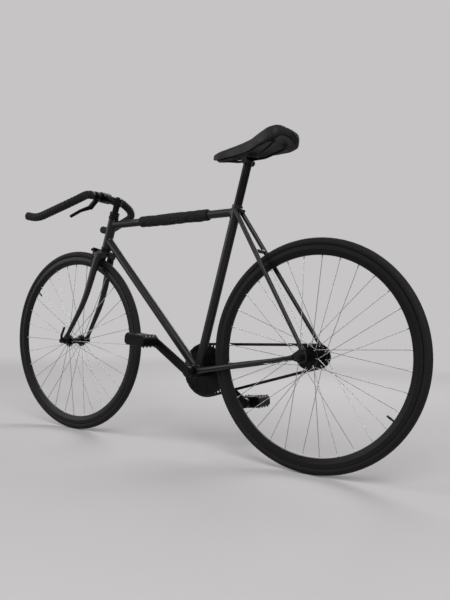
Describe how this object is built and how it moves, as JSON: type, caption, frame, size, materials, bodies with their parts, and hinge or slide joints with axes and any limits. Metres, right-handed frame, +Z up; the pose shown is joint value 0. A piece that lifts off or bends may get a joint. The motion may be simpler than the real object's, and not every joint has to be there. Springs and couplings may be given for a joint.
{
  "type": "fixed gear bicycle",
  "caption": "Diamond-frame fixed gear road bicycle with forward horn bars, a top tube pad, deep rims and a front hand brake.",
  "frame": {"origin": "on the ground under the middle of the bicycle, midway between the wheel axles", "axes": "+X towards the front wheel, +Y towards the rider's left (away from the chain), +Z up"},
  "size_m": [1.659, 0.3842, 0.9849],
  "materials": {
    "gloss_black_paint": "gloss black enamel over steel tube",
    "black_anodised_alloy": "black anodised alloy",
    "dark_steel": "blackened steel",
    "black_chain_steel": "oiled black chain steel",
    "stainless_spokes": "bright drawn stainless wire",
    "black_tyre": "black rubber tyre with fine grooves and ribbed side walls",
    "dark_brass_valve": "black-plated brass",
    "black_pedal_alloy": "black cast aluminium, bead blasted",
    "brake_rubber": "brake block rubber",
    "black_bar_tape": "wound cork-rubber tape",
    "black_plastic": "moulded black plastic",
    "black_saddle_leather": "black saddle cover",
    "black_pad_fabric": "black woven pad cover"
  },
  "bodies": {
    "frame": {"head_tube": "gloss_black_paint", "top_tube": "gloss_black_paint", "down_tube": "gloss_black_paint", "seat_tube": "gloss_black_paint", "seat_binder_bolt": "dark_steel", "bottom_bracket_shell": "gloss_black_paint", "bottom_bracket_cups": "dark_steel", "dropouts": "gloss_black_paint", "chainstay_left": "gloss_black_paint", "chainstay_right": "gloss_black_paint", "seatstay_left": "gloss_black_paint", "seatstay_right": "gloss_black_paint", "brake_bridge": "gloss_black_paint", "top_tube_pad": "black_pad_fabric", "headset_cups": "black_anodised_alloy", "chain": "black_chain_steel", "rear_axle": "dark_steel"},
    "fork": {"fork_crown": "gloss_black_paint", "fork_blade_left": "gloss_black_paint", "fork_blade_right": "gloss_black_paint", "headset_races": "black_anodised_alloy", "stem": "black_anodised_alloy", "stem_bolt": "dark_steel", "handlebar": "black_anodised_alloy", "bar_tape": "black_bar_tape", "bar_plugs": "black_plastic", "lever_bracket": "black_anodised_alloy", "caliper_bolt": "dark_steel", "front_axle": "dark_steel", "skewer": "dark_steel"},
    "front_wheel": {"front_tyre": "black_tyre", "front_rim": "black_anodised_alloy", "front_valve": "dark_brass_valve", "front_spokes": "stainless_spokes", "front_hub": "black_anodised_alloy"},
    "rear_wheel": {"rear_tyre": "black_tyre", "rear_rim": "black_anodised_alloy", "rear_valve": "dark_brass_valve", "rear_spokes": "stainless_spokes", "rear_hub": "black_anodised_alloy", "cog": "dark_steel"},
    "cranks": {"chainring": "black_anodised_alloy", "chainring_bolts": "dark_steel", "crank_left": "black_anodised_alloy", "crank_right": "black_anodised_alloy", "spindle": "dark_steel", "pedal_spindles": "dark_steel"},
    "pedal_left": {"pedal_left": "black_pedal_alloy"},
    "pedal_right": {"pedal_right": "black_pedal_alloy"},
    "brake_lever": {"brake_lever": "black_anodised_alloy"},
    "caliper_left": {"caliper_arm_left": "black_anodised_alloy", "brake_shoe_left": "brake_rubber"},
    "caliper_right": {"caliper_arm_right": "black_anodised_alloy", "brake_shoe_right": "brake_rubber"},
    "quick_release": {"quick_release_lever": "black_anodised_alloy"},
    "seat": {"seatpost": "black_anodised_alloy", "saddle_clamp": "black_anodised_alloy", "saddle_rails": "dark_steel", "saddle_shell": "black_plastic", "saddle": "black_saddle_leather"}
  },
  "joints": [
    {"name": "steering", "type": "hinge", "parent": "frame", "child": "fork", "pos_m": [0.33713, 0, 0.67579], "axis": [-0.309, 0, 0.9511], "range_deg": [-75, 75]},
    {"name": "front_wheel_spin", "type": "hinge", "parent": "fork", "child": "front_wheel", "pos_m": [0.4955, 0, 0.334], "axis": [0, 1, 0], "continuous": true},
    {"name": "rear_wheel_spin", "type": "hinge", "parent": "frame", "child": "rear_wheel", "pos_m": [-0.4955, 0, 0.334], "axis": [0, 1, 0], "continuous": true, "deforming": ["chain"]},
    {"name": "crank_spin", "type": "hinge", "parent": "frame", "child": "cranks", "pos_m": [-0.09216, 0, 0.264], "axis": [0, 1, 0], "continuous": true},
    {"name": "pedal_left_spin", "type": "hinge", "parent": "cranks", "child": "pedal_left", "pos_m": [0.05169, 0.114, 0.35921], "axis": [0, 1, 0], "continuous": true},
    {"name": "pedal_right_spin", "type": "hinge", "parent": "cranks", "child": "pedal_right", "pos_m": [-0.236, -0.114, 0.16879], "axis": [0, 1, 0], "continuous": true},
    {"name": "brake_lever_pull", "type": "hinge", "parent": "fork", "child": "brake_lever", "pos_m": [0.36581, 0.053, 0.81373], "axis": [0.9059, -0.2529, 0.3397], "range_deg": [0, 15], "stiffness_Nm_per_rad": 1.2, "springref_deg": -11.46},
    {"name": "caliper_left_close", "type": "hinge", "parent": "fork", "child": "caliper_left", "pos_m": [0.3612, 0, 0.65995], "axis": [-0.9511, 0, -0.309], "range_deg": [0, 2.2]},
    {"name": "caliper_right_close", "type": "hinge", "parent": "fork", "child": "caliper_right", "pos_m": [0.36843, 0, 0.6623], "axis": [0.9511, 0, 0.309], "range_deg": [0, 2.2]},
    {"name": "quick_release_open", "type": "hinge", "parent": "fork", "child": "quick_release", "pos_m": [0.4955, 0.065, 0.334], "axis": [-0.9135, 0, -0.4067], "range_deg": [0, 160]},
    {"name": "saddle_height", "type": "slide", "parent": "frame", "child": "seat", "axis": [-0.2554, 0, 0.9668], "range_m": [-0.1, 0.045]}
  ],
  "couplings": [
    {"joint": "crank_spin", "follows": "rear_wheel_spin", "ratio": 0.38095},
    {"joint": "caliper_left_close", "follows": "brake_lever_pull", "ratio": 0.1466},
    {"joint": "caliper_right_close", "follows": "brake_lever_pull", "ratio": 0.1466}
  ]
}
